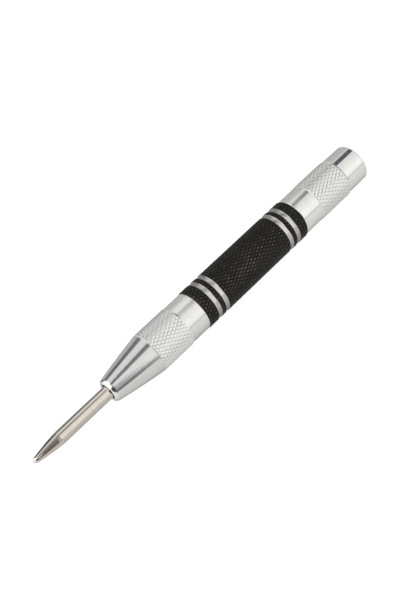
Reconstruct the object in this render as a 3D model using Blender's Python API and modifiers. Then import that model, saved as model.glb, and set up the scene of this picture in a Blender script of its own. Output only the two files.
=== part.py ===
"""Automatic centre punch, lying on its side.

A spring-loaded punch for marking hole centres in metal. Pressing the point on the
work pushes the punch pin back into the nose. The tilted trigger pin behind it
catches the face of the hammer off centre and pushes the hammer against the main
spring, until the hole in the barrel's web straightens the trigger pin and its stem
slips into the hammer's bore. The hammer then drives forward. Screwing the end cap
in or out sets the force of the blow.

Frame: the tool's axis lies along X, with the point towards -X and the cap towards
+X. The origin is under the middle of the tool, on the surface it lies on, so Z = 0
is the lowest line of the barrel. Units are metres.

Stations along the tool are distances from the tip of the point, and each turned
piece is a profile of (station, radius) pairs, taken round the tool's axis.
"""

import math

import bpy
from mathutils import Vector

MM = 0.001

# ---------------------------------------------------------------- overall
LENGTH = 132.7 * MM              # tip of the point to the end of the cap
BARREL_R = 6.54 * MM             # knurled barrel, the largest radius
FACETS = 24                      # sides of the outer turned pieces
FACETS_INNER = 24                # sides of the small inner pieces
GAP = 0.30 * MM                  # gap left between faces that meet
PITCH = 1.00 * MM                # thread pitch of the nose and the cap
STROKE = 9.0 * MM                # travel of the punch pin
TILT = math.radians(1.8)         # lean of the trigger pin before it is pushed home

# ---------------------------------------------------------------- stations
NOSE_FRONT = 27.4 * MM           # front face of the nose cone
CONE_START = 28.5 * MM
CONE_END = 44.2 * MM             # end of the plain cone, start of its knurl
NOSE_KNURL_END = 55.1 * MM
NOSE_JOINT = 61.95 * MM          # where the nose meets the barrel
CAP_JOINT = 104.59 * MM          # where the barrel meets the cap
CAP_KNURL_START = 111.96 * MM
CAP_KNURL_END = 124.45 * MM

# ---------------------------------------------------------------- nose cone
NOSE_FRONT_R = 2.90 * MM
CONE_START_R = 3.78 * MM
NOSE_KNURL_R = 6.50 * MM
NOSE_SKIRT_R = 6.32 * MM
CONE_SWELL = 0.11 * MM           # the cone's flank is slightly full
NOSE_BORE_R = 2.15 * MM          # guides the punch pin
CHAMBER_START = 46.5 * MM
CHAMBER_R = 3.60 * MM
THREAD_R = 5.00 * MM             # M10 spigots on both ends of the barrel
THREAD_BORE_R = 5.30 * MM
NOSE_THREAD_START = 55.4 * MM

# ---------------------------------------------------------------- barrel
RING_R = 6.33 * MM               # floor of the four turned ring grooves
RINGS = (
    (65.64 * MM, 67.07 * MM),
    (68.70 * MM, 70.11 * MM),
    (96.74 * MM, 98.17 * MM),
    (99.77 * MM, 101.21 * MM),
)
WEB_START = 65.0 * MM
WEB_CONE_END = 66.5 * MM
WEB_END = 72.0 * MM
WEB_MOUTH_R = 2.40 * MM
WEB_BORE_R = 1.90 * MM
HAMMER_BORE_R = 3.75 * MM
FRONT_SPIGOT_START = 55.7 * MM
REAR_SPIGOT_END = 116.5 * MM

# ---------------------------------------------------------------- end cap
CAP_STEM_R = 6.27 * MM
CAP_KNURL_R = 6.43 * MM
CAP_REAR_R = 6.18 * MM
CAP_END_R = 6.10 * MM
CAP_THREAD_END = 118.5 * MM
CAP_FLOOR = 129.5 * MM           # inner face of the cap's closed end
CAP_SPRING_BORE_R = 3.75 * MM

# ---------------------------------------------------------------- punch pin
PIN_R = 2.00 * MM
PIN_TAPER_END = 9.3 * MM
POINT_LENGTH = 0.9 * MM
POINT_R = 0.85 * MM
PIN_HEAD_START = 46.8 * MM
PIN_HEAD_END = 49.8 * MM
PIN_HEAD_R = 3.30 * MM

# ---------------------------------------------------------------- trigger pin
TRIGGER_PIVOT = 51.1 * MM
TRIGGER_HEAD_START = 50.1 * MM
TRIGGER_HEAD_END = 52.1 * MM
TRIGGER_HEAD_R = 3.20 * MM
SHANK_R = 1.60 * MM
SHANK_END = 62.2 * MM
STEM_START = 62.9 * MM
STEM_R = 1.10 * MM
STEM_END = 72.0 * MM

# ---------------------------------------------------------------- hammer
HAMMER_START = 72.3 * MM
HAMMER_SHOULDER = 86.3 * MM
HAMMER_END = 88.8 * MM
HAMMER_R = 3.60 * MM
HAMMER_BOSS_R = 2.00 * MM
HAMMER_HOLE_R = 1.28 * MM
HAMMER_HOLE_END = 82.6 * MM

# ---------------------------------------------------------------- springs
RETURN_WIRE_R = 0.25 * MM
RETURN_MEAN_R = 2.85 * MM
RETURN_TURNS = 5.5
RETURN_START = 52.85 * MM        # centre of the wire at the front end
RETURN_END = 64.40 * MM
MAIN_WIRE_R = 0.50 * MM
MAIN_MEAN_R = 3.00 * MM
MAIN_TURNS = 15.0
MAIN_START = 87.15 * MM
MAIN_END = 128.65 * MM
POINTS_PER_TURN = 12

AXIS_Z = BARREL_R * math.cos(math.pi / FACETS)   # the barrel lies on one flat
MIDDLE = LENGTH / 2


def clear_scene():
    for item in list(bpy.data.objects):
        bpy.data.objects.remove(item, do_unlink=True)


def collection(name):
    made = bpy.data.collections.new(name)
    bpy.context.scene.collection.children.link(made)
    return made


def material(name, color, roughness, metallic):
    made = bpy.data.materials.new(name)
    made.use_nodes = True
    shader = made.node_tree.nodes["Principled BSDF"]
    shader.inputs["Base Color"].default_value = (*color, 1.0)
    shader.inputs["Roughness"].default_value = roughness
    shader.inputs["Metallic"].default_value = metallic
    made.diffuse_color = (*color, 1.0)
    return made


def empty(name, station, parent=None):
    """An empty on the tool's axis, whose local Z points to the rear."""
    made = bpy.data.objects.new(name, None)
    made.empty_display_size = 0.004
    PARTS.objects.link(made)
    place(made, station, parent)
    return made


def place(item, station, parent=None, lean=0.0):
    """Puts an object's origin on the tool's axis at a station. Its local Z runs to
    the rear; lean tips that direction upwards."""
    item.location = (station - MIDDLE, 0.0, AXIS_Z)
    item.rotation_euler = (0.0, math.pi / 2 - lean, 0.0)
    if parent is not None:
        bpy.context.view_layer.update()
        item.parent = parent
        item.matrix_parent_inverse = parent.matrix_world.inverted()


def turned(name, profile, facets, finish, origin, parent=None, lean=0.0):
    """A turned piece. The profile runs from the rear down the outside to the front,
    and back up the bore if there is one. A profile whose ends lie on the axis is
    open; any other is closed."""
    on_axis = profile[0][1] < 1e-7 and profile[-1][1] < 1e-7
    half = math.pi / facets
    points = [
        Vector((r * math.cos(half), r * math.sin(half), s - origin)) for s, r in profile
    ]
    count = len(points)
    edges = [(i, i + 1) for i in range(count - 1)]
    if not on_axis:
        edges.append((count - 1, 0))
    mesh = bpy.data.meshes.new(name)
    mesh.from_pydata(points, edges, [])
    item = bpy.data.objects.new(name, mesh)
    PARTS.objects.link(item)
    mesh.materials.append(finish)
    screw = item.modifiers.new("turned", "SCREW")
    screw.axis = "Z"
    screw.angle = 2 * math.pi
    screw.steps = facets
    screw.render_steps = facets
    screw.use_merge_vertices = True
    screw.merge_threshold = 0.00001
    screw.use_normal_calculate = False
    screw.use_smooth_shade = True
    place(item, origin, parent, lean)
    return item


def coil(name, start, end, turns, mean_r, wire_r, finish, parent=None):
    """A compression spring with closed ends: the last turn at each end lies flat
    against its neighbour, and the pitch is even between them."""
    steps = int(round(turns * POINTS_PER_TURN))
    closed = 1.25
    tight = 2.1 * wire_r

    def weight(turn):
        # 0 in the closed turns, 1 in the working turns, with a soft change between
        edge = min(turn, turns - turn) - closed
        return min(max(edge / 0.5 + 0.5, 0.0), 1.0)

    weights = [weight((i + 0.5) / POINTS_PER_TURN) for i in range(steps)]
    low = tight / POINTS_PER_TURN
    extra = (end - start - low * steps) / sum(weights)
    heights = [start]
    for w in weights:
        heights.append(heights[-1] + low + extra * w)

    curve = bpy.data.curves.new(name, "CURVE")
    curve.dimensions = "3D"
    curve.bevel_depth = wire_r
    curve.bevel_resolution = 2
    curve.use_fill_caps = True
    spline = curve.splines.new("POLY")
    spline.points.add(steps)
    spline.use_smooth = True
    for i, s in enumerate(heights):
        a = 2 * math.pi * i / POINTS_PER_TURN
        spline.points[i].co = (
            mean_r * math.cos(a), mean_r * math.sin(a), s - start, 1.0,
        )
    curve.materials.append(finish)
    item = bpy.data.objects.new(name, curve)
    PARTS.objects.link(item)
    place(item, start, parent)
    return item


def cone_flank(steps):
    """The nose's plain cone, from its knurl to its front, slightly full."""
    points = []
    for i in range(steps + 1):
        t = 1 - i / steps
        s = CONE_START + (CONE_END - CONE_START) * t
        r = CONE_START_R + (NOSE_KNURL_R - CONE_START_R) * t
        points.append((s, r + 4 * CONE_SWELL * t * (1 - t)))
    return points


def nose_profile():
    chamfer = 0.20 * MM
    rear = NOSE_JOINT - GAP / 2
    points = [
        (rear, NOSE_SKIRT_R - chamfer),
        (rear - chamfer, NOSE_SKIRT_R),
        (NOSE_KNURL_END + 0.15 * MM, NOSE_SKIRT_R),
        (NOSE_KNURL_END, NOSE_KNURL_R),
    ]
    points += cone_flank(6)
    # the rounded front edge
    for k in (1, 2, 3):
        a = math.radians(90 * k / 3)
        points.append((
            CONE_START - (CONE_START - NOSE_FRONT) * math.sin(a),
            NOSE_FRONT_R + (CONE_START_R - NOSE_FRONT_R) * math.cos(a),
        ))
    points += [
        (NOSE_FRONT, NOSE_BORE_R),
        (CHAMBER_START, NOSE_BORE_R),
        (CHAMBER_START, CHAMBER_R),
        (NOSE_THREAD_START, CHAMBER_R),
        (NOSE_THREAD_START, THREAD_BORE_R),
        (rear, THREAD_BORE_R),
    ]
    return points


def barrel_profile():
    chamfer = 0.22 * MM
    front = NOSE_JOINT + GAP / 2
    rear = CAP_JOINT - GAP / 2
    points = [
        (REAR_SPIGOT_END, THREAD_R - chamfer),
        (REAR_SPIGOT_END - chamfer, THREAD_R),
        (rear, THREAD_R),
        (rear, BARREL_R - chamfer),
        (rear - chamfer, BARREL_R),
    ]
    slope = 0.10 * MM
    for start, end in reversed(RINGS):
        points += [
            (end, BARREL_R),
            (end - slope, RING_R),
            (start + slope, RING_R),
            (start, BARREL_R),
        ]
    points += [
        (front + chamfer, BARREL_R),
        (front, BARREL_R - chamfer),
        (front, THREAD_R),
        (FRONT_SPIGOT_START, THREAD_R),
        (FRONT_SPIGOT_START, CHAMBER_R),
        (WEB_START, CHAMBER_R),
        (WEB_START, WEB_MOUTH_R),
        (WEB_CONE_END, WEB_BORE_R),
        (WEB_END, WEB_BORE_R),
        (WEB_END, HAMMER_BORE_R),
        (REAR_SPIGOT_END, HAMMER_BORE_R),
    ]
    return points


def cap_profile():
    chamfer = 0.25 * MM
    front = CAP_JOINT + GAP / 2
    return [
        (LENGTH, 0.0),
        (LENGTH, CAP_END_R - chamfer),
        (LENGTH - chamfer, CAP_END_R),
        (CAP_KNURL_END + 0.15 * MM, CAP_REAR_R),
        (CAP_KNURL_END, CAP_KNURL_R),
        (CAP_KNURL_START, CAP_KNURL_R),
        (CAP_KNURL_START - 0.15 * MM, CAP_STEM_R),
        (front + chamfer, CAP_STEM_R),
        (front, CAP_STEM_R - chamfer),
        (front, THREAD_BORE_R),
        (CAP_THREAD_END, THREAD_BORE_R),
        (CAP_THREAD_END, CAP_SPRING_BORE_R),
        (CAP_FLOOR, CAP_SPRING_BORE_R),
        (CAP_FLOOR, 0.0),
    ]


def pin_profile():
    chamfer = 0.20 * MM
    return [
        (PIN_HEAD_END, 0.0),
        (PIN_HEAD_END, PIN_HEAD_R - chamfer),
        (PIN_HEAD_END - chamfer, PIN_HEAD_R),
        (PIN_HEAD_START + chamfer, PIN_HEAD_R),
        (PIN_HEAD_START, PIN_HEAD_R - chamfer),
        (PIN_HEAD_START, PIN_R),
        (PIN_TAPER_END, PIN_R),
        (POINT_LENGTH, POINT_R),
        (0.0, 0.0),
    ]


def trigger_profile():
    chamfer = 0.15 * MM
    return [
        (STEM_END, 0.0),
        (STEM_END, STEM_R - chamfer),
        (STEM_END - chamfer, STEM_R),
        (STEM_START, STEM_R),
        (SHANK_END, SHANK_R),
        (TRIGGER_HEAD_END, SHANK_R),
        (TRIGGER_HEAD_END, TRIGGER_HEAD_R),
        (TRIGGER_HEAD_START, TRIGGER_HEAD_R),
        (TRIGGER_HEAD_START, 0.0),
    ]


def hammer_profile():
    chamfer = 0.20 * MM
    return [
        (HAMMER_END, 0.0),
        (HAMMER_END, HAMMER_BOSS_R - chamfer),
        (HAMMER_END - chamfer, HAMMER_BOSS_R),
        (HAMMER_SHOULDER, HAMMER_BOSS_R),
        (HAMMER_SHOULDER, HAMMER_R - chamfer),
        (HAMMER_SHOULDER - chamfer, HAMMER_R),
        (HAMMER_START + chamfer, HAMMER_R),
        (HAMMER_START, HAMMER_R - chamfer),
        (HAMMER_START, HAMMER_HOLE_R),
        (HAMMER_HOLE_END, HAMMER_HOLE_R),
        (HAMMER_HOLE_END + 0.7 * MM, 0.0),
    ]


clear_scene()
PARTS = collection("centre_punch")

silver = material("turned_aluminium", (0.80, 0.81, 0.82), 0.25, 1.0)
silver_cap = material("turned_aluminium_cap", (0.80, 0.81, 0.82), 0.25, 1.0)
black = material("black_anodised", (0.030, 0.031, 0.034), 0.40, 0.6)
pin_steel = material("hardened_steel_pin", (0.66, 0.63, 0.58), 0.18, 1.0)
trigger_steel = material("trigger_steel", (0.58, 0.57, 0.55), 0.28, 1.0)
hammer_steel = material("hammer_steel", (0.52, 0.52, 0.53), 0.35, 1.0)
spring_steel = material("spring_wire", (0.42, 0.42, 0.44), 0.32, 1.0)
small_spring_steel = material("small_spring_wire", (0.55, 0.55, 0.57), 0.30, 1.0)

tool = empty("tool_axis", MIDDLE)
punch_rides = empty("punch_slide_axis", PIN_HEAD_START, tool)
trigger_rides = empty("trigger_tilt_axis", TRIGGER_PIVOT, punch_rides)
hammer_rides = empty("hammer_slide_axis", HAMMER_START, tool)
cap_rides = empty("cap_screw_axis", CAP_FLOOR, tool)

turned("nose_cone", nose_profile(), FACETS, silver, CHAMBER_START, tool)
turned("barrel", barrel_profile(), FACETS, black, WEB_END, tool)
turned("end_cap", cap_profile(), FACETS, silver_cap, CAP_FLOOR, cap_rides)
turned("punch_pin", pin_profile(), FACETS_INNER, pin_steel, PIN_HEAD_START, punch_rides)
turned(
    "trigger_pin", trigger_profile(), FACETS_INNER, trigger_steel, TRIGGER_PIVOT,
    trigger_rides, TILT,
)
turned("hammer", hammer_profile(), FACETS_INNER, hammer_steel, HAMMER_START, hammer_rides)
coil(
    "return_spring", RETURN_START, RETURN_END, RETURN_TURNS, RETURN_MEAN_R,
    RETURN_WIRE_R, small_spring_steel, tool,
)
coil(
    "main_spring", MAIN_START, MAIN_END, MAIN_TURNS, MAIN_MEAN_R, MAIN_WIRE_R,
    spring_steel, cap_rides,
)
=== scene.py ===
import math

import bmesh
import bpy
import numpy as np
from mathutils import Matrix, Vector


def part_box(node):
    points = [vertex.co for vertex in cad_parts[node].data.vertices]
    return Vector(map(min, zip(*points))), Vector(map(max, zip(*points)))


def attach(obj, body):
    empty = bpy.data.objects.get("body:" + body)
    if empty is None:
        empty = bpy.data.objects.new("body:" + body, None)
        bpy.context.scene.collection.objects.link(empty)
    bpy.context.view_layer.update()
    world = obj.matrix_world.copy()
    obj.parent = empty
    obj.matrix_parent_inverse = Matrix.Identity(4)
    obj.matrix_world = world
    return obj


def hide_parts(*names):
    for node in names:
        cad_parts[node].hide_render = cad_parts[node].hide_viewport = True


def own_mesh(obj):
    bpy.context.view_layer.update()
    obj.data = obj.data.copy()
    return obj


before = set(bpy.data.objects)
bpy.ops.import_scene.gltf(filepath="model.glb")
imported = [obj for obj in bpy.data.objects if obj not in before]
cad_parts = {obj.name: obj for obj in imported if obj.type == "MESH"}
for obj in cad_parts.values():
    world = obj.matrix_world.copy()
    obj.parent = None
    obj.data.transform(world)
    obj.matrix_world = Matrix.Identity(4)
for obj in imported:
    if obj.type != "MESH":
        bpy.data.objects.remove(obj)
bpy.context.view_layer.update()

# ------------------------------------------------------------------ the frame
MM = 0.001
PIN_LO, PIN_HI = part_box("punch_pin")
BAR_LO, BAR_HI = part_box("barrel")
TIP_X = PIN_LO.x                       # station 0 is the tip of the point
AXIS_Z = (BAR_LO.z + BAR_HI.z) / 2
PLAIN = 128                            # columns round the plain pieces
NOSE_STARTS, BARREL_STARTS, CAP_STARTS = 33, 35, 30    # diamonds round each knurl
PER_DIAMOND = 8                        # columns to a diamond
KNURL_PITCH = 2.0                      # length of a diamond along the axis, mm


def at(s):
    """X of a station given in millimetres from the tip."""
    return TIP_X + s * MM


# ------------------------------------------------------------------ mesh code
class Skin:
    """A turned skin: rings of points round the tool's axis, joined in order. Stations
    and radii are in millimetres, and may differ from column to column."""

    def __init__(self, columns, lead=0.0):
        """lead turns the columns back by a part of a diamond."""
        self.n = columns
        self.lead = lead * PER_DIAMOND * 2 * math.pi / columns
        self.co, self.faces, self.height, self.cut = [], [], [], []
        self.count = 0
        self.knurled = 0.0
        self.angle = np.arange(columns) * 2 * math.pi / columns - self.lead

    def painted_shade(self, low, high, amount=1.0, soft=6.0):
        """Crest values that paint shade into a neck or edge between two angles, in degrees."""
        a = np.degrees((self.angle + math.pi) % (2 * math.pi) - math.pi)
        inside = np.clip(np.minimum(a - low, high - a) / soft + 0.5, 0, 1)
        return 0.6 - (0.6 + amount) * inside

    def _add(self, s, r, angle, height):
        s = np.broadcast_to(np.asarray(s, float), angle.shape)
        r = np.broadcast_to(np.asarray(r, float), angle.shape)
        h = np.broadcast_to(np.asarray(height, float), angle.shape)
        points = np.stack(
            [TIP_X + s * MM, r * MM * np.sin(angle), AXIS_Z + r * MM * np.cos(angle)], 1
        )
        first = self.count
        self.co.append(points)
        self.height.append(h)
        self.cut.append(np.full(len(points), self.knurled))
        self.count += len(points)
        return first

    def ring(self, s, r, height=1.0):
        return self._add(s, r, self.angle, height)

    def pole(self, s):
        return self._add(np.array([s]), np.array([0.0]), np.array([0.0]), 1.0)

    def band(self, a, b):
        i = np.arange(self.n)
        j = (i + 1) % self.n
        self.faces.append(np.stack([a + i, a + j, b + j, b + i], 1))

    def fan(self, pole, ring):
        i = np.arange(self.n)
        j = (i + 1) % self.n
        self.faces.append(np.stack([np.full(self.n, pole), ring + j, ring + i], 1))

    def crossed(self, a, b, s, r, height):
        """A band whose cells meet at a middle point, so creases can run both ways."""
        half = math.pi / self.n
        c = self._add(s, r, self.angle + half, height)
        i = np.arange(self.n)
        j = (i + 1) % self.n
        for p, q in ((a + i, a + j), (a + j, b + j), (b + j, b + i), (b + i, a + i)):
            self.faces.append(np.stack([p, q, c + i], 1))

    def profile(self, points, last=None, height=1.0):
        """Rings along (station, radius) points; last is the ring to join on to."""
        for s, r in points:
            here = self.ring(s, r, height)
            if last is not None:
                self.band(last, here)
            last = here
        return last

    def build(self, name, materials, sharp=32.0):
        mesh = bpy.data.meshes.new(name)
        co = np.concatenate(self.co)
        faces = [row for block in self.faces for row in block.tolist()]
        mesh.from_pydata(co.tolist(), [], faces)
        bm = bmesh.new()
        bm.from_mesh(mesh)
        bmesh.ops.recalc_face_normals(bm, faces=bm.faces)
        bm.to_mesh(mesh)
        bm.free()
        mesh.update()
        mesh.shade_smooth()
        mesh.set_sharp_from_angle(angle=math.radians(sharp))
        height = mesh.attributes.new("crest", "FLOAT", "POINT")
        height.data.foreach_set("value", np.concatenate(self.height).astype(np.float32))
        cut = mesh.attributes.new("knurled", "FLOAT", "POINT")
        cut.data.foreach_set("value", np.concatenate(self.cut).astype(np.float32))
        for m in materials:
            mesh.materials.append(m)
        obj = bpy.data.objects.new(name, mesh)
        bpy.context.scene.collection.objects.link(obj)
        return obj


def crown(x):
    """Height of a knurl tooth against its distance from the groove, 0 to 0.5."""
    return np.interp(x, [0.0, 0.125, 0.25, 0.375, 0.5], [0.0, 0.47, 0.81, 0.96, 1.0])


def knurl(skin, start, end, crest, depth, last, seam=0.0, pitch=KNURL_PITCH,
          chamfer=0.10, chamfer_ends=(True, True), fade=0.0):
    """A diamond knurl from station start down to end (start > end). It is what two
    sets of crossing helical grooves leave standing. Returns its last ring."""
    starts = skin.n // PER_DIAMOND
    step = pitch / 8
    k = math.floor((start - 0.04 - seam) / step)
    stations = [start]
    while seam + k * step > end + 0.04:
        if stations[-1] - (seam + k * step) > 0.03:
            stations.append(seam + k * step)
        k -= 1
    stations.append(end)

    def surface(s, angle):
        a = (angle + skin.lead) * starts / (2 * math.pi)
        b = (s - seam) / pitch
        u, v = a + b, a - b
        du = np.abs(u - np.round(u))
        dv = np.abs(v - np.round(v))
        h = crown(np.minimum(du, dv))
        run_out = min(1.0, 0.3 + min(start - s, s - end) / fade) if fade else 1.0
        r = crest - depth * run_out * (1 - h)
        limit = crest
        if chamfer_ends[0]:
            limit = min(limit, crest - chamfer + (start - s) * 1.1)
        if chamfer_ends[1]:
            limit = min(limit, crest - chamfer + (s - end) * 1.1)
        return np.minimum(r, limit), h

    skin.knurled = 1.0
    r, h = surface(stations[0], skin.angle)
    here = skin.ring(stations[0], r, h)
    if last is not None:
        skin.band(last, here)
    half = math.pi / skin.n
    for s0, s1 in zip(stations, stations[1:]):
        r, h = surface(s1, skin.angle)
        there = skin.ring(s1, r, h)
        middle = (s0 + s1) / 2
        rc, hc = surface(middle, skin.angle + half)
        skin.crossed(here, there, middle, rc, hc)
        here = there
    skin.knurled = 0.0
    return here


def rounding(s0, r0, s1, r1, steps, bulge="front"):
    """Points along a quarter ellipse between two corners, outside the straight line."""
    points = []
    for k in range(steps + 1):
        a = math.pi / 2 * k / steps
        if bulge == "front":      # leaves along the axis, arrives square to it
            points.append((s0 + (s1 - s0) * math.sin(a), r1 + (r0 - r1) * math.cos(a)))
        else:                     # leaves square to the axis, arrives along it
            points.append((s1 + (s0 - s1) * math.cos(a), r0 + (r1 - r0) * math.sin(a)))
    return points


# ------------------------------------------------------------------ materials
def srgb(value):
    c = value / 255
    return c / 12.92 if c <= 0.04045 else ((c + 0.055) / 1.055) ** 2.4


class Nodes:
    """A short way to write node trees."""

    def __init__(self, tree):
        self.tree = tree

    def __call__(self, kind, **sets):
        node = self.tree.nodes.new(kind)
        for key, value in sets.items():
            setattr(node, key, value)
        return node

    def put(self, socket, value):
        if isinstance(value, bpy.types.NodeSocket):
            self.tree.links.new(value, socket)
        else:
            socket.default_value = value

    def math(self, operation, a, b=None, c=None, clamp=False):
        node = self("ShaderNodeMath", operation=operation, use_clamp=clamp)
        for socket, value in zip(node.inputs, (a, b, c)):
            if value is not None:
                self.put(socket, value)
        return node.outputs[0]

    def dot(self, vector, constant):
        node = self("ShaderNodeVectorMath", operation="DOT_PRODUCT")
        self.put(node.inputs[0], vector)
        node.inputs[1].default_value = constant
        return node.outputs["Value"]

    def remap(self, value, a, b, c, d, smooth=False):
        node = self("ShaderNodeMapRange")
        node.interpolation_type = "SMOOTHSTEP" if smooth else "LINEAR"
        self.put(node.inputs["Value"], value)
        node.inputs["From Min"].default_value = a
        node.inputs["From Max"].default_value = b
        node.inputs["To Min"].default_value = c
        node.inputs["To Max"].default_value = d
        return node.outputs["Result"]

    def ramp(self, value, stops, interpolation="LINEAR"):
        node = self("ShaderNodeValToRGB")
        self.put(node.inputs[0], value)
        ramp = node.color_ramp
        ramp.interpolation = interpolation
        while len(ramp.elements) > 1:
            ramp.elements.remove(ramp.elements[-1])
        for k, (place, colour) in enumerate(stops):
            e = ramp.elements[0] if k == 0 else ramp.elements.new(place)
            e.position = place
            if not hasattr(colour, "__len__"):
                colour = (colour, colour, colour)
            e.color = (*colour, 1.0)
        return node.outputs["Color"]

    def mix(self, factor, a, b):
        node = self("ShaderNodeMix", data_type="RGBA")
        node.clamp_factor = True
        self.put(node.inputs[0], factor)
        self.put(node.inputs[6], a if isinstance(a, bpy.types.NodeSocket) else (*a, 1.0))
        self.put(node.inputs[7], b if isinstance(b, bpy.types.NodeSocket) else (*b, 1.0))
        return node.outputs[2]

    def noise(self, vector, scale, detail=2.0, roughness=0.5):
        node = self("ShaderNodeTexNoise")
        self.put(node.inputs["Vector"], vector)
        node.inputs["Scale"].default_value = scale
        node.inputs["Detail"].default_value = detail
        node.inputs["Roughness"].default_value = roughness
        return node.outputs["Fac"]

    def combine(self, x, y, z):
        node = self("ShaderNodeCombineXYZ")
        for socket, value in zip(node.inputs, (x, y, z)):
            self.put(socket, value)
        return node.outputs[0]


def new_material(name):
    m = bpy.data.materials.new(name)
    m.use_nodes = True
    m.node_tree.nodes.clear()
    n = Nodes(m.node_tree)
    out = n("ShaderNodeOutputMaterial")
    bsdf = n("ShaderNodeBsdfPrincipled")
    m.node_tree.links.new(bsdf.outputs[0], out.inputs[0])
    return m, n, bsdf


def lathe_coords(n):
    """x along the tool, radius, and angle round it, from the piece's own coordinates."""
    coord = n("ShaderNodeTexCoord").outputs["Object"]
    split = n("ShaderNodeSeparateXYZ")
    n.put(split.inputs[0], coord)
    x, y = split.outputs[0], split.outputs[1]
    z = n.math("SUBTRACT", split.outputs[2], AXIS_Z)
    radius = n.math("SQRT", n.math("ADD", n.math("MULTIPLY", y, y), n.math("MULTIPLY", z, z)))
    angle = n.math("ARCTAN2", y, z)
    return coord, x, radius, angle


def turned_metal(name, colour, roughness, lines, line_depth, tint=0.03, groove=None,
                 long_lines=False, smear=0.0, anisotropy=0.0, rough_noise=0.06,
                 knurl_rough=0.0, knurl_sheen=0.0, feed=0.0, side_shade=0.0):
    """Bright turned metal: fine tool lines round the axis, a little unevenness in tone and polish, faint handling
    marks, painted shade in the bottom of any knurl and in the necks beside it, and where asked a painted sheen on
    the knurl and painted shade round the sides."""
    m, n, bsdf = new_material(name)
    coord, x, radius, angle = lathe_coords(n)
    if long_lines:               # ground along its length
        vector = n.combine(n.math("MULTIPLY", x, 0.02), radius, n.math("MULTIPLY", angle, 0.002))
    else:
        vector = n.combine(x, radius, n.math("MULTIPLY", angle, 0.00002))
    fine = n.noise(vector, lines, 2.0, 0.6)
    broad = n.noise(vector, lines * 0.17, 2.0, 0.5)
    cloud = n.noise(coord, 420.0, 3.0, 0.55)
    both = n.math("MULTIPLY_ADD", broad, 0.6, n.math("MULTIPLY", fine, 0.4))

    tone = n.math("ADD", n.remap(both, 0.3, 0.7, -tint, tint),
                  n.remap(cloud, 0.3, 0.7, -tint * 0.5, tint * 0.5))
    tone = n.math("ADD", tone, 1.0)
    if side_shade:                  # painted shade: darker round the ring away from the line that catches the light
        round_it = n.math("ABSOLUTE", n.math("ADD", angle, math.radians(23)))
        side_dark = n.math("MULTIPLY", n.remap(round_it, math.radians(12), math.radians(66), 0.0, side_shade, True),
                      n.remap(round_it, math.radians(75), math.radians(125), 1.0, 0.4, True))
        tone = n.math("MULTIPLY", tone, n.math("SUBTRACT", 1.0, side_dark))
    if knurl_sheen:               # the knurled band is painted brighter, a painted sheen
        sheen_area = n("ShaderNodeAttribute", attribute_name="knurled").outputs["Fac"]
        tone = n.math("MULTIPLY", tone, n.math("MULTIPLY_ADD", sheen_area, knurl_sheen, 1.0))
    base = n.combine(*(n.math("MULTIPLY", tone, c, clamp=True) for c in colour))
    # painted shade: the knurl's grooves are mixed towards the groove colour by the crest value
    if groove is not None:
        crest = n("ShaderNodeAttribute", attribute_name="crest").outputs["Fac"]
        base = n.mix(n.remap(crest, 0.0, 0.34, 1.0, 0.0, True), base, groove)
        # painted shade in the necks beside the knurl and in the mouth, where the crest value is below zero,
        # broken up a little by noise
        painted_shade = n.math("MULTIPLY", n.remap(crest, -1.0, -0.1, 1.0, 0.0, True),
                       n.remap(n.noise(coord, 900.0, 2.0, 0.5), 0.36, 0.52, 0.72, 1.0, True))
        base = n.mix(painted_shade, base, (0.06, 0.057, 0.053))
    n.put(bsdf.inputs["Base Color"], base)
    bsdf.inputs["Metallic"].default_value = 1.0
    spot = n.noise(coord, 900.0, 2.0, 0.6)
    rough = n.math("ADD", n.remap(both, 0.3, 0.7, -rough_noise * 0.5, rough_noise * 0.5),
                   n.remap(spot, 0.5, 0.75, 0.0, smear, True))
    rough = n.math("ADD", rough, roughness, clamp=True)
    if knurl_rough:
        knurled = n("ShaderNodeAttribute", attribute_name="knurled").outputs["Fac"]
        rough = n.math("MULTIPLY_ADD", knurled, knurl_rough, rough)
    n.put(bsdf.inputs["Roughness"], rough)
    bsdf.inputs["Anisotropic"].default_value = anisotropy

    bump = n("ShaderNodeBump")
    bump.inputs["Strength"].default_value = 1.0
    bump.inputs["Distance"].default_value = line_depth
    height = both
    if feed:                     # the tool's feed, a shallow regular thread
        wander = n.math("MULTIPLY", n.math("SUBTRACT", broad, 0.5), 9.0)
        wave = n.math("SINE", n.math("ADD", n.math("MULTIPLY", x, 2 * math.pi / 0.00078), wander))
        height = n.math("MULTIPLY_ADD", wave, feed, both)
    n.put(bump.inputs["Height"], height)
    n.put(bsdf.inputs["Normal"], bump.outputs[0])
    return m


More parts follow.
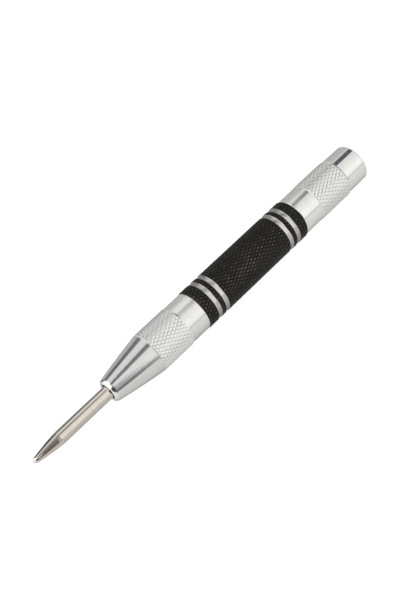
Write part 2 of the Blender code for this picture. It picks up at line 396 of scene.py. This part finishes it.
def black_anodised(name):
    """Black anodised aluminium. Its teeth carry painted light on the crests and painted shade, with some dirt, in
    the grooves; the oxide is rubbed thin on some tooth tips, whose bright metal also stands for painted glints.
    """
    m, n, bsdf = new_material(name)
    coord, x, radius, angle = lathe_coords(n)
    crest = n("ShaderNodeAttribute", attribute_name="crest").outputs["Fac"]
    grain = n.noise(coord, 9000.0, 3.0, 0.6)
    patch = n.noise(coord, 700.0, 2.0, 0.6)
    cloud = n.noise(coord, 300.0, 3.0, 0.55)
    base = n.mix(n.remap(cloud, 0.35, 0.65, 0.0, 1.0), (0.074, 0.0722, 0.0647), (0.110, 0.1071, 0.0952))
    tooth = n.remap(n.noise(coord, 520.0, 1.0, 0.5), 0.35, 0.65, 0.55, 1.0)
    # painted highlight on the tooth crests and painted shade, with some dirt, in the grooves
    up = n.remap(crest, 0.12, 1.0, 0.0, 1.0, True)
    low = n.mix(tooth, (0.011, 0.0107, 0.0097), (0.025, 0.0243, 0.0220))
    zone = n.remap(n.noise(coord, 190.0, 2.0, 0.5), 0.36, 0.60, 0.05, 0.65, True)
    # the painted light and shade on the teeth is faded by the cap and low on the near side, where the light falls
    # evenly on them
    plain = n.math("MAXIMUM", n.remap(x, at(80), at(95), 0.0, 0.72, True),
                   n.remap(angle, math.radians(-30), math.radians(-58), 0.0, 0.62, True))
    plain = n.math("MAXIMUM", plain, n.remap(angle, math.radians(14), math.radians(40), 0.0, 0.45, True))
    zone = n.math("MAXIMUM", zone, plain)
    base = n.mix(zone, n.mix(up, low, base), (0.0305, 0.0298, 0.0268))
    mottle = n.remap(n.noise(coord, 2300.0, 2.0, 0.6), 0.30, 0.70, 0.0, 1.0)
    base = n.mix(n.math("MULTIPLY", mottle, 0.42), base, (0.010, 0.0098, 0.0089))
    # worn tips, painted bright also as glints on the tooth tips
    tips = n.remap(crest, 0.80, 1.0, 0.0, 1.0, True)
    wear_and_glint = n.math("MULTIPLY", tips, n.remap(patch, 0.50, 0.66, 0.0, 1.0, True))
    base = n.mix(n.math("MULTIPLY", wear_and_glint, 0.55), base, (0.20, 0.193, 0.170))
    n.put(bsdf.inputs["Base Color"], base)
    bsdf.inputs["Metallic"].default_value = 1.0
    rough = n.math("ADD", n.remap(grain, 0.3, 0.7, 0.18, 0.30),
                   n.math("MULTIPLY", wear_and_glint, -0.06))
    n.put(bsdf.inputs["Roughness"], rough)
    bump = n("ShaderNodeBump")
    bump.inputs["Strength"].default_value = 1.0
    bump.inputs["Distance"].default_value = 0.000002
    n.put(bump.inputs["Height"], grain)
    n.put(bsdf.inputs["Normal"], bump.outputs[0])
    return m


SILVER = (0.93, 0.928, 0.905)
# painted shade: the groove colours darken the bottom of the nose's and the cap's knurls
# the nose's knurl is painted brighter as a painted sheen
nose_metal = turned_metal("nose_metal", SILVER, 0.12, 7000.0, 0.0000045, tint=0.03,
                          groove=(0.92, 0.92, 0.90), smear=0.05, knurl_rough=0.165, knurl_sheen=0.09, feed=0.29)
cap_metal = turned_metal("cap_metal", SILVER, 0.12, 9000.0, 0.0000022, tint=0.03,
                         groove=(0.66, 0.66, 0.645), smear=0.05)
# the rings are painted darker round their sides, a painted shade
ring_metal = turned_metal("ring_metal", (0.72, 0.695, 0.675), 0.17, 9000.0, 0.000005, tint=0.12,
                          side_shade=0.42)
pin_metal = turned_metal("pin_metal", (0.83, 0.765, 0.69), 0.08, 7000.0, 0.0000012,
                         tint=0.04, smear=0.04)
trigger_metal = turned_metal("trigger_metal", (0.60, 0.59, 0.57), 0.22, 9000.0, 0.000004, tint=0.05)
hammer_metal = turned_metal("hammer_metal", (0.50, 0.50, 0.51), 0.28, 7000.0, 0.000006, tint=0.08)
black = black_anodised("black_anodised")


def wire_metal(name, colour, roughness):
    m, n, bsdf = new_material(name)
    coord = n("ShaderNodeTexCoord").outputs["Object"]
    draw = n.noise(coord, 5000.0, 3.0, 0.6)
    film = n.noise(coord, 500.0, 2.0, 0.5)
    tone = n.remap(draw, 0.3, 0.7, 0.88, 1.10)
    base = n.combine(*(n.math("MULTIPLY", tone, c) for c in colour))
    base = n.mix(n.remap(film, 0.5, 0.7, 0.0, 0.5, True), base,
                 tuple(c * f for c, f in zip(colour, (0.80, 0.72, 0.58))))
    n.put(bsdf.inputs["Base Color"], base)
    bsdf.inputs["Metallic"].default_value = 1.0
    n.put(bsdf.inputs["Roughness"], n.remap(draw, 0.3, 0.7, roughness - 0.06, roughness + 0.08))
    bump = n("ShaderNodeBump")
    bump.inputs["Strength"].default_value = 0.8
    bump.inputs["Distance"].default_value = 0.000004
    n.put(bump.inputs["Height"], draw)
    n.put(bsdf.inputs["Normal"], bump.outputs[0])
    return m


small_wire = wire_metal("small_wire", (0.58, 0.58, 0.60), 0.26)
main_wire = wire_metal("main_wire", (0.42, 0.42, 0.44), 0.30)

# ------------------------------------------------------------------ nose cone
CONE0, CONE1 = 28.5, 44.2
CONE0_R, CONE1_R, SWELL = 3.78, 6.50, 0.11
LIP0, LIP1 = 27.7, 29.04              # the rounding round the mouth


def cone_radius(s):
    t = (s - CONE0) / (CONE1 - CONE0)
    return CONE0_R + (CONE1_R - CONE0_R) * t + 4 * SWELL * t * (1 - t)


def lip_rounding():
    """An elliptical rounding that leaves along the cone and arrives square to the axis."""
    drop, run = cone_radius(LIP1) - 2.86, LIP1 - LIP0
    slope = (cone_radius(LIP1 + 0.1) - cone_radius(LIP1)) / 0.1
    a0 = math.radians(20)
    for _ in range(30):
        high, deep = drop / math.cos(a0), run / (1 - math.sin(a0))
        a0 = math.atan(slope * deep / high)
    steps = 13
    angles = [a0 + (math.pi / 2 - a0) * k / steps for k in range(steps + 1)]
    return [(LIP0 + deep * (1 - math.sin(a)), 2.86 + high * math.cos(a)) for a in angles]


def make_nose():
    skin = Skin(NOSE_STARTS * PER_DIAMOND, 0.093)
    first = skin.ring(62.02, 5.25)
    last = skin.profile([(62.02, 6.16)], first)
    last = skin.profile(rounding(62.02, 6.20, 61.82, 6.33, 4, "rear")[1:], last)
    last = skin.profile([(61.76, 6.33), (60.0, 6.33), (58.4, 6.33), (56.8, 6.33), (55.54, 6.33),
                         (55.435, 6.33)], last)
    # painted shade: the neck behind the knurl is darkened over part of its round, for the shadow of the knurl's
    # step
    last = skin.profile([(55.41, 6.30), (55.18, 6.30)], last,
                        np.minimum(skin.painted_shade(-6, 12), skin.painted_shade(-14, 18, 0.5)))
    last = knurl(skin, 55.10, 43.66, 6.50, 0.126, last, seam=43.69, chamfer=0.12,
                 chamfer_ends=(False, True))
    # painted shade: the neck between the knurl and the cone is darkened over part of its round
    last = skin.profile([(43.62, 6.31), (43.46, 6.32)], last, skin.painted_shade(-56, 4, 0.52))
    cone = [(s, cone_radius(s)) for s in (43.40, 43.32, *np.linspace(42.8, LIP1 + 0.5, 24),
                                          LIP1 + 0.08)]
    last = skin.profile(cone, last)
    last = skin.profile(lip_rounding(), last)
    last = skin.profile([(LIP0, 2.84)], last)
    # painted shade on the inner edge of the mouth, over part of its round
    last = skin.profile([(LIP0 + 0.01, 2.78), (LIP0 + 0.04, 2.44)], last, skin.painted_shade(-50, -12, 1.0))
    # painted shade all round the bore inside the mouth
    last = skin.profile([(LIP0 + 0.10, 2.36), (28.6, 2.32), (28.8, 2.28), (29.2, 2.15)], last, -1.0)
    last = skin.profile([(29.6, 2.15), (40.0, 2.15), (46.5, 2.15), (46.5, 3.6), (55.4, 3.6),
                         (55.4, 5.25)], last)
    skin.band(last, first)
    return skin.build("nose_shell", [nose_metal])


nose = make_nose()
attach(nose, "housing")
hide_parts("nose_cone")

# ------------------------------------------------------------------ barrel
RINGS = ((65.64, 67.07), (68.70, 70.11), (96.74, 98.17), (99.77, 101.21))
BARREL_R = 6.54
BLACK_DEPTH = 0.16


def make_barrel():
    skin = Skin(BARREL_STARTS * PER_DIAMOND, -0.068)
    first = skin.ring(104.50, 3.75)
    last = skin.profile([(104.50, 5.2), (104.50, 6.24)], first)
    last = skin.profile(rounding(104.50, 6.26, 104.24, BARREL_R - 0.10, 3, "rear")[1:-1], last)
    start = 104.24
    for low, high in reversed(RINGS):
        last = knurl(skin, start, high + 0.02, BARREL_R, BLACK_DEPTH, last,
                     seam=83.02, pitch=2.03, chamfer=0.10, fade=0.5)
        last = skin.profile([(high, 6.40), (high, 6.16), (low, 6.16), (low, 6.40)], last)
        start = low - 0.02
    last = knurl(skin, start, 62.26, BARREL_R, BLACK_DEPTH, last, seam=83.02,
                 pitch=2.03, chamfer=0.10, fade=0.5)
    last = skin.profile(rounding(62.24, BARREL_R - 0.10, 62.10, 6.30, 3, "front"), last)
    last = skin.profile([(62.10, 5.0), (55.7, 5.0), (55.7, 3.6), (65.0, 3.6), (65.0, 2.4),
                         (66.5, 1.9), (72.0, 1.9), (72.0, 3.75)], last)
    skin.band(last, first)
    return skin.build("barrel_body", [black])


barrel = make_barrel()
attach(barrel, "housing")
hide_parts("barrel")


def make_ring(name, low, high):
    """One of the grooves cut through the black, with its bright floor and flanks."""
    skin = Skin(PLAIN * 2)
    first = skin.ring(high + 0.01, 6.10)
    last = skin.profile([(high + 0.01, 6.44), (high - 0.03, 6.41), (high - 0.08, 6.345),
                         (high - 0.14, 6.33)], first)
    steps = 5
    for k in range(1, steps):        # the floor keeps faint feed marks of the tool
        s = high - 0.14 + (low + 0.14 - high + 0.14) * k / steps
        last = skin.profile([(s, 6.33 - (0.012 if k % 2 else 0.0))], last)
    last = skin.profile([(low + 0.14, 6.33), (low + 0.08, 6.345), (low + 0.03, 6.41),
                         (low - 0.01, 6.44), (low - 0.01, 6.10)], last)
    skin.band(last, first)
    return skin.build(name, [ring_metal])


for k, (low, high) in enumerate(RINGS):
    ring = make_ring("barrel_ring_%d" % (k + 1), low, high)
    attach(ring, "housing")
    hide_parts("barrel")


def make_thread():
    """The barrel's rear spigot, with its male thread at 1 mm pitch."""
    skin = Skin(96)
    major, minor, pitch = 5.0, 4.42, 1.0
    start, end = 116.5, 104.2
    step = pitch / 8
    rows = int(round((start - end) / step))
    first = skin.ring(start, 3.75)
    last = skin.profile([(start, 4.30)], first)
    for k in range(1, rows + 1):
        s = start - k * step
        turn = (s / pitch - skin.angle / (2 * math.pi)) % 1.0
        tooth = np.interp(np.abs(turn - 0.5), [0.0, 0.06, 0.44, 0.5], [1.0, 1.0, 0.0, 0.0])
        top = min(1.0, 0.15 + (start - s) / 0.7, 0.0 + max(0.0, (s - 105.2)) / 0.5)
        r = minor + (major - minor) * tooth * max(top, 0.0)
        here = skin.ring(s, r)
        skin.band(last, here)
        last = here
    last = skin.profile([(end, 3.75)], last)
    skin.band(last, first)
    return skin.build("barrel_rear_thread", [black], sharp=25.0)


thread = make_thread()
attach(thread, "housing")
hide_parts("barrel")


# ------------------------------------------------------------------ end cap
def make_cap():
    skin = Skin(CAP_STARTS * PER_DIAMOND, 0.016)
    pole = skin.pole(132.80)
    face = skin.ring(132.80, 0.8)
    skin.fan(pole, face)
    last = skin.profile([(132.80, r) for r in (2.0, 3.2, 4.4, 5.4, 5.86)], face)
    last = skin.profile([(132.80, 5.90), (132.79, 5.94), (132.75, 6.01), (132.67, 6.06),
                         (132.58, 6.09), (132.48, 6.10), (132.38, 6.10)], last)
    last = skin.profile([(s, np.interp(s, (124.6, 132.3), (6.18, 6.10)))
                         for s in (*np.linspace(131.6, 125.2, 7), 124.90, 124.83)], last)
    # painted shade: the neck behind the cap's knurl is darkened over part of its round
    last = skin.profile([(124.78, 6.12), (124.52, 6.12)], last,
                        np.minimum(skin.painted_shade(-18, 12), skin.painted_shade(-52, 12, 0.55)))
    last = knurl(skin, 124.48, 112.02, 6.43, 0.135, last, seam=112.59, chamfer=0.07)
    last = skin.profile([(111.97, 6.25), (111.90, 6.25), (111.84, 6.27), (111.76, 6.27), (110.2, 6.27),
                         (108.4, 6.27), (106.6, 6.27), (104.88, 6.27), (104.80, 6.27)], last)
    last = skin.profile(rounding(104.80, 6.27, 104.56, 6.10, 4, "front")[1:], last)
    last = skin.profile([(104.56, 5.40), (104.9, 5.08), (111.0, 5.08), (118.5, 5.08),
                         (118.5, 3.75), (129.5, 3.75)], last)
    floor = skin.pole(129.5)
    skin.fan(floor, last)
    return skin.build("cap_shell", [cap_metal])


cap = make_cap()
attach(cap, "cap")
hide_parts("end_cap")


# ------------------------------------------------------------------ punch pin
def make_pin():
    skin = Skin(PLAIN)
    pole = skin.pole(49.8)
    face = skin.ring(49.8, 1.6)
    skin.fan(pole, face)
    last = skin.profile([(49.8, 3.05)], face)
    last = skin.profile(rounding(49.8, 3.10, 49.6, 3.30, 4, "rear"), last)
    last = skin.profile([(47.0, 3.30), (46.85, 3.22), (46.8, 3.1), (46.8, 2.12), (46.5, 2.0)], last)
    last = skin.profile([(s, 2.0) for s in np.linspace(45.0, 9.9, 14)], last)
    last = skin.profile([(9.42, 2.0), (9.30, 1.993), (9.18, 1.977)], last)
    last = skin.profile([(s, np.interp(s, (0.9, 9.3), (0.85, 1.995))
                          + 0.09 * (1 - ((s - 5.1) / 4.2) ** 2))
                         for s in np.linspace(8.9, 1.1, 14)], last)
    last = skin.profile([(0.96, 0.85), (0.88, 0.82), (0.80, 0.755)], last)
    last = skin.profile([(s, s * 0.94) for s in np.linspace(0.72, 0.16, 7)], last)
    last = skin.profile([(0.08, 0.11), (0.03, 0.07)], last)
    tip = skin.pole(0.0)
    skin.fan(tip, last)
    return skin.build("punch_point", [pin_metal], sharp=14.0)


pin = make_pin()
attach(pin, "punch")
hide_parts("punch_pin")


# ------------------------------------------------------------------ inner pieces
def make_trigger():
    skin = Skin(PLAIN)
    pole = skin.pole(72.0)
    face = skin.ring(72.0, 0.5)
    skin.fan(pole, face)
    last = skin.profile([(72.0, 0.92), (71.96, 1.02), (71.85, 1.10), (68.0, 1.10), (63.1, 1.10),
                         (62.9, 1.12), (62.3, 1.55), (62.15, 1.60), (57.0, 1.60), (52.5, 1.60),
                         (52.22, 1.66), (52.12, 1.80), (52.1, 3.05), (52.05, 3.15), (51.95, 3.20),
                         (50.25, 3.20), (50.14, 3.14), (50.1, 3.0), (50.1, 1.5)], face)
    front = skin.pole(50.1)
    skin.fan(front, last)
    obj = skin.build("trigger_stem", [trigger_metal])
    pivot = Vector((at(51.1), 0, AXIS_Z))
    lean = Matrix.Rotation(-math.radians(1.8), 4, "Y")
    obj.data.transform(Matrix.Translation(pivot) @ lean @ Matrix.Translation(-pivot))
    return obj


trigger = make_trigger()
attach(trigger, "trigger")
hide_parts("trigger_pin")


def make_hammer():
    skin = Skin(PLAIN)
    pole = skin.pole(88.8)
    face = skin.ring(88.8, 0.9)
    skin.fan(pole, face)
    last = skin.profile([(88.8, 1.78), (88.75, 1.92), (88.6, 2.0), (86.5, 2.0), (86.33, 2.05),
                         (86.3, 2.2), (86.3, 3.38), (86.24, 3.52), (86.1, 3.60), (82.0, 3.60),
                         (79.7, 3.60), (79.64, 3.56), (79.36, 3.56), (79.3, 3.60), (76.0, 3.60),
                         (72.5, 3.60), (72.36, 3.52), (72.3, 3.38), (72.3, 1.5), (72.36, 1.36),
                         (72.5, 1.28), (78.0, 1.28), (82.6, 1.28)], face)
    end = skin.pole(83.3)
    skin.fan(end, last)
    return skin.build("hammer_block", [hammer_metal])


hammer = make_hammer()
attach(hammer, "hammer_body")
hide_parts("hammer")


def coil(name, start, end, turns, mean_r, wire_r, material, per_turn=40, sides=12):
    """A compression spring with closed ends, swept as one closed tube."""
    steps = int(round(turns * per_turn))
    tight = 2.1 * wire_r

    def weight(turn):
        edge = min(turn, turns - turn) - 1.25
        return min(max(edge / 0.5 + 0.5, 0.0), 1.0)

    weights = [weight((k + 0.5) / per_turn) for k in range(steps)]
    low = tight / per_turn
    extra = (end - start - low * steps) / sum(weights)
    s, line = start, []
    for k in range(steps + 1):
        a = 2 * math.pi * k / per_turn
        # the same hand and the same start as the CAD coil
        line.append(Vector((at(s), mean_r * MM * math.sin(a), AXIS_Z - mean_r * MM * math.cos(a))))
        if k < steps:
            s += low + extra * weights[k]
    verts, faces = [], []
    for k, p in enumerate(line):
        tangent = (line[min(k + 1, steps)] - line[max(k - 1, 0)]).normalized()
        out = (p - Vector((p.x, 0, AXIS_Z))).normalized()
        side = tangent.cross(out).normalized()
        out = side.cross(tangent).normalized()
        for j in range(sides):
            b = 2 * math.pi * j / sides
            verts.append(p + (out * math.cos(b) + side * math.sin(b)) * wire_r * MM)
    for k in range(steps):
        for j in range(sides):
            a, b = k * sides + j, k * sides + (j + 1) % sides
            faces.append((a, b, b + sides, a + sides))
    faces.append(tuple(range(sides)))
    faces.append(tuple(range(steps * sides, steps * sides + sides)))
    mesh = bpy.data.meshes.new(name)
    mesh.from_pydata(verts, [], faces)
    bm = bmesh.new()
    bm.from_mesh(mesh)
    bmesh.ops.recalc_face_normals(bm, faces=bm.faces)
    bm.to_mesh(mesh)
    bm.free()
    mesh.shade_smooth()
    mesh.set_sharp_from_angle(angle=math.radians(40))
    mesh.materials.append(material)
    obj = bpy.data.objects.new(name, mesh)
    bpy.context.scene.collection.objects.link(obj)
    return obj


small_coil = coil("return_coil", 52.85, 64.40, 5.5, 2.85, 0.25, small_wire)
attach(small_coil, "housing")
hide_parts("return_spring")
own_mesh(small_coil)

big_coil = coil("main_coil", 87.15, 128.65, 15.0, 3.0, 0.5, main_wire)
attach(big_coil, "spring_body")
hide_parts("main_spring")
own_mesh(big_coil)

# ------------------------------------------------------------------ camera
AZ, EL = math.radians(-47.2), math.radians(60.6)
back = Vector((math.sin(AZ) * math.cos(EL), -math.cos(AZ) * math.cos(EL), math.sin(EL)))
forward = -back
along = Vector((1, 0, 0))
toward = (back - along * back.dot(along)).normalized()   # square to the tool, towards the camera
across = forward.cross(along).normalized()               # the way the lower right of the view lies
if across.z > 0:
    across = -across
DISTANCE = 0.307
target = Vector((at(65.64), 0, AXIS_Z)) - across * 0.00094
camera_data = bpy.data.cameras.new("camera")
camera_data.sensor_width = 36.0
camera_data.lens = 36.0 * 1079.0 / 601.0
camera_data.clip_start = 0.01
camera_data.clip_end = 50.0
camera = bpy.data.objects.new("camera", camera_data)
bpy.context.scene.collection.objects.link(camera)
camera.location = target + back * DISTANCE
camera.rotation_mode = "QUATERNION"
camera.rotation_quaternion = forward.to_track_quat("-Z", "Y")
bpy.context.scene.camera = camera

# ------------------------------------------------------------------ studio
scene = bpy.context.scene
scene.view_settings.view_transform = "Standard"
scene.view_settings.look = "None"
scene.view_settings.exposure = 0.0
scene.view_settings.gamma = 1.0


def make_world():
    """A light tent round the tool: a broad bright top, paler walls, and the narrow dark
    gaps between its panels. It is laid out by the angle round the tool's axis and the
    angle along it. The camera itself sees plain white."""
    world = bpy.data.worlds.new("tent")
    scene.world = world
    world.use_nodes = True
    world.node_tree.nodes.clear()
    n = Nodes(world.node_tree)
    direction = n("ShaderNodeTexCoord").outputs["Generated"]
    sin_beta = n.dot(direction, (1, 0, 0))
    beta = n.math("MULTIPLY", n.math("ARCSINE", sin_beta), 180 / math.pi)
    psi = n.math("MULTIPLY", n.math("ARCTAN2", n.dot(direction, across), n.dot(direction, toward)),
                 180 / math.pi)

    def place(deg):
        return (deg + 180) / 360

    def level(value):
        return srgb(value) / 0.90

    # above the tool the panel's edge leans with the angle along the tool
    lean = n.math("MULTIPLY", n.math("MULTIPLY", n.math("SUBTRACT", n.math("MAXIMUM", beta, 19.0), 19.0), 1.1),
                  n.remap(psi, -62, -74, 0, 1, True))
    upper = n.math("SUBTRACT", psi, lean)
    stops = [(-180, 156), (-160, 165), (-140, 174), (-112, 176), (-101, 184), (-93, 197),
             (-86, 208), (-79, 217), (-66, 222), (-54, 216), (-36, 216),
             (-22, 222), (0, 231), (20, 241), (38, 238), (43, 230), (47, 209), (49.6, 191), (54.5, 204),
             (60, 216), (75, 211), (90, 205), (112, 199), (128, 189), (145, 173), (160, 162), (180, 156)]
    base = n.ramp(n.remap(upper, -180, 180, 0, 1), [(place(p), level(v)) for p, v in stops])
    light = n("ShaderNodeRGBToBW")
    n.put(light.inputs[0], base)
    light = light.outputs[0]
    # the end wall by the point is a little dimmer than the middle
    light = n.math("MULTIPLY", light, n.remap(beta, -4, 18, 0.87, 1.0, True))
    no_line = n.math("MULTIPLY", n.remap(psi, 43, 48, 0.0, 0.30, True), n.remap(psi, 50, 64, 1.0, 0.0, True))
    no_line = n.math("MULTIPLY", n.math("MULTIPLY", no_line, n.remap(beta, 8, 10.5, 0, 1, True)),
                     n.remap(beta, 14.5, 17, 1, 0, True))
    light = n.math("MULTIPLY", light, n.math("ADD", 1.0, no_line))
    low_side = n.math("MULTIPLY", n.remap(psi, 8, 56, 0.0, 0.19, True), n.remap(psi, 80, 115, 1.0, 0.7, True))
    low_side = n.math("MULTIPLY", low_side, n.remap(beta, 7, 11, 0, 1, True))
    low_side = n.math("MULTIPLY", low_side, n.remap(beta, 14.5, 17, 1, 0, True))
    light = n.math("MULTIPLY", light, n.math("SUBTRACT", 1.0, low_side))
    band = n.math("MULTIPLY", n.remap(beta, 18.4, 19.6, 0, 1, True), n.remap(beta, 22.0, 24.5, 1, 0, True))
    side = n.math("ADD", n.remap(psi, -6, 14, 0.0, 0.05, True), n.remap(psi, 96, 122, 0.0, 0.09, True))
    side = n.math("MULTIPLY", side, band)
    light = n.math("MULTIPLY", light, n.math("SUBTRACT", 1.0, side))
    # the wall in front of the point: bright above, dark where the camera stands
    front = n.ramp(n.remap(psi, -180, 180, 0, 1),
                   [(place(p), v) for p, v in ((-180, 0.44), (-150, 0.62), (-118, 0.78), (-98, 0.98), (-8, 1.0),
                                               (-3, 0.025), (44, 0.025), (52, 0.60), (130, 0.52),
                                               (160, 0.40), (180, 0.40))])
    front_light = n("ShaderNodeRGBToBW")
    n.put(front_light.inputs[0], front)
    low_front = n.math("MULTIPLY", n.remap(psi, -14, 2, 0.0, 0.26, True), n.remap(psi, 46, 70, 1.0, 0.0, True))
    low_front = n.math("SUBTRACT", n.remap(beta, -24, -34, 0.0, 0.80, True), low_front)
    front_light = n.math("MAXIMUM", n.math("MULTIPLY", front_light.outputs[0], 1.25), low_front)
    blend = n("ShaderNodeMix", data_type="FLOAT")
    n.put(blend.inputs[0], n.remap(beta, -8.9, -11.5, 0.0, 1.0, True))
    n.put(blend.inputs[2], light)
    n.put(blend.inputs[3], front_light)
    light = blend.outputs[0]
    dark = None

    def strip(dark, table, soft=4.0):
        """A dark gap. table rows are (beta, centre, half width, depth)."""
        lo, hi = -40.0, 60.0
        where = n.remap(beta, lo, hi, 0, 1)
        rows = [((b - lo) / (hi - lo), ((c + 180) / 360, h / 60, d)) for b, c, h, d in table]
        split = n("ShaderNodeSeparateColor")
        n.put(split.inputs[0], n.ramp(where, rows))
        centre = n.math("MULTIPLY_ADD", split.outputs[0], 360.0, -180.0)
        half = n.math("MULTIPLY", split.outputs[1], 60.0)
        away = n.math("SUBTRACT", n.math("ABSOLUTE", n.math("SUBTRACT", psi, centre)), half)
        cover = n.remap(away, -soft / 2, soft / 2, 1.0, 0.0, True)
        cover = n.math("MULTIPLY", cover, split.outputs[2])
        return cover if dark is None else n.math("MAXIMUM", dark, cover)

    dark = strip(dark, [(-40, -31, 9, 0.0), (-14, -31, 9, 0.0), (-9.5, -31, 10.5, 0.76),
                        (3, -34, 10.4, 0.76), (9, -38.5, 9.6, 0.75), (12.6, -41.5, 9.2, 0.78),
                        (15.2, -43, 10, 0.42), (15.9, -43, 9.5, 0.24), (17.3, -42.5, 8.5, 0.26), (20.6, -42.5, 8.5, 0.26),
                        (21.3, -36, 15, 0.40), (22.6, -36, 15, 0.40), (24.2, -43, 13, 0.42),
                        (25.6, -44, 15, 0.54), (27.2, -44, 15, 0.54),
                        (27.7, -52, 9.4, 0.55), (28.8, -52, 9.4, 0.55), (29.3, -56, 15, 0.66), (30.3, -57.5, 13.5, 0.90),
                        (30.9, -57.5, 11.5, 0.93),
                        (31.25, -58.3, 12, 0.95), (31.8, -59.8, 13.6, 0.99), (33, -60, 14, 0.99), (42, -60, 15.5, 0.0), (60, -60, 15, 0.0)])
    dark = strip(dark, [(-40, -96, 15, 0.0), (-17, -96, 15, 0.0), (-12, -96, 15, 0.74), (-5.5, -96, 15, 0.76),
                        (-4, -96.5, 14, 0.76), (1, -96.5, 14.2, 0.76), (3, -95, 13.5, 0.74), (6, -98, 11.5, 0.70), (9.7, -102, 12.5, 0.70),
                        (12.6, -118, 24.5, 0.62), (15.5, -116, 24, 0.30),
                        (17.3, -116, 20, 0.0), (60, -116, 20, 0.0)], soft=9.0)
    dark = strip(dark, [(-40, 42, 10, 0.0), (-14, 42, 10, 0.0), (-10, 42, 10.5, 0.78), (-6.3, 44.5, 10, 0.77),
                        (-2.6, 42.5, 11, 0.80), (0.5, 44, 8, 0.62), (4, 46, 7, 0.28),
                        (10, 50, 5, 0.08), (19, 51, 4, 0.0), (60, 51, 4, 0.0)])
    # something dim and near, seen low in the front of the cone
    slid = n.math("SUBTRACT", psi, n.math("MULTIPLY", n.math("ADD", beta, 7.0), 3.3))
    dim = n.math("MULTIPLY", n.remap(beta, -4.5, 1.5, 0.58, 0.06),
                 n.math("MULTIPLY", n.remap(slid, -7, 17, 0, 1, True), n.remap(psi, 40, 50, 1, 0, True)))
    dark = n.math("MAXIMUM", dark, n.math("MULTIPLY", dim, n.remap(beta, -10.8, -8.8, 0, 1, True)))
    # behind the cap, above: the dark opening of the tent
    rear = n.math("MULTIPLY", n.remap(n.math("SUBTRACT", beta, n.remap(n.math("ABSOLUTE", psi), 60, 130, 64, 56)),
                                      -3.5, 3.5, 0, 0.93, True),
                  n.remap(beta, 82, 87, 1.0, 0.35, True))
    rear = n.math("MULTIPLY", rear, n.math("SUBTRACT", 1.0, n.math(
        "MULTIPLY", n.remap(psi, 118, 130, 0, 0.8, True), n.remap(psi, 168, 176, 1, 0, True))))
    dark = n.math("MAXIMUM", dark, rear)

    def dimmed(amount):
        return n.math("MULTIPLY", light, n.math("SUBTRACT", 1.0, n.math("MULTIPLY", dark, amount)))

    lit = n("ShaderNodeBackground")
    n.put(lit.inputs["Color"], n.combine(dimmed(1.0), n.math("MULTIPLY", dimmed(0.984), 0.998),
                                         n.math("MULTIPLY", dimmed(0.955), 0.985)))
    white = n("ShaderNodeBackground")
    white.inputs["Color"].default_value = (1, 1, 1, 1)
    white.inputs["Strength"].default_value = 1.05
    pick = n("ShaderNodeMixShader")
    n.put(pick.inputs[0], n("ShaderNodeLightPath").outputs["Is Camera Ray"])
    n.tree.links.new(lit.outputs[0], pick.inputs[1])
    n.tree.links.new(white.outputs[0], pick.inputs[2])
    out = n("ShaderNodeOutputWorld")
    n.tree.links.new(pick.outputs[0], out.inputs[0])


make_world()


def make_floor():
    mesh = bpy.data.meshes.new("floor")
    bm = bmesh.new()
    bmesh.ops.create_grid(bm, x_segments=2, y_segments=2, size=3.0)
    bm.to_mesh(mesh)
    bm.free()
    floor = bpy.data.objects.new("floor", mesh)
    scene.collection.objects.link(floor)
    floor.location.z = AXIS_Z - BARREL_R * MM - 0.00002
    m, n, bsdf = new_material("floor_paper")
    fibre = n.noise(n("ShaderNodeTexCoord").outputs["Object"], 600.0, 3.0, 0.5)
    n.put(bsdf.inputs["Base Color"], n.mix(fibre, (0.275, 0.275, 0.275), (0.285, 0.285, 0.285)))
    bsdf.inputs["Roughness"].default_value = 1.0
    bsdf.inputs["Specular IOR Level"].default_value = 0.0
    bsdf.inputs["Emission Color"].default_value = (1, 1, 1, 1)
    bsdf.inputs["Emission Strength"].default_value = 0.90
    mesh.materials.append(m)
    floor.visible_glossy = False
    floor.visible_diffuse = False


make_floor()


def make_flag(name, near, far, arc, reach, tone):
    """A small dark flag held by the point, seen only as a reflection in it. near and far
    are stations at its distance from the axis, arc the angles round the tool."""
    verts, faces, steps = [], [], 12
    for k in range(steps + 1):
        a = math.radians(arc[0] + (arc[1] - arc[0]) * k / steps)
        out = toward * math.cos(a) + across * math.sin(a)
        for s in (near, far):
            verts.append(Vector((at(s), 0, AXIS_Z)) + out * reach)
    for k in range(steps):
        faces.append((2 * k, 2 * k + 1, 2 * k + 3, 2 * k + 2))
    mesh = bpy.data.meshes.new(name)
    mesh.from_pydata(verts, [], faces)
    m, n, bsdf = new_material(name)
    weave = n.noise(n("ShaderNodeTexCoord").outputs["Object"], 300.0, 2.0, 0.5)
    bsdf.inputs["Base Color"].default_value = (0.02, 0.02, 0.02, 1)
    bsdf.inputs["Roughness"].default_value = 1.0
    bsdf.inputs["Specular IOR Level"].default_value = 0.0
    n.put(bsdf.inputs["Emission Color"],
          n.mix(weave, tuple(c * 0.85 for c in tone), tuple(c * 1.15 for c in tone)))
    bsdf.inputs["Emission Strength"].default_value = 1.0
    mesh.materials.append(m)
    flag = bpy.data.objects.new(name, mesh)
    scene.collection.objects.link(flag)
    flag.visible_camera = False
    flag.visible_diffuse = False
    flag.visible_shadow = False


make_flag("flag_low", -11.0, 9.5, (-8.0, 60.0), 0.100, (0.15, 0.144, 0.131))
make_flag("flag_mid", -11.0, 9.5, (-44.0, -8.0), 0.100, (0.26, 0.25, 0.235))
make_flag("flag_lip", -130.0, -21.0, (-9.0, 44.0), 0.100, (0.022, 0.021, 0.020))
make_flag("flag_top", -6.0, 17.0, (-152.0, -106.0), 0.100, (0.05, 0.048, 0.042))
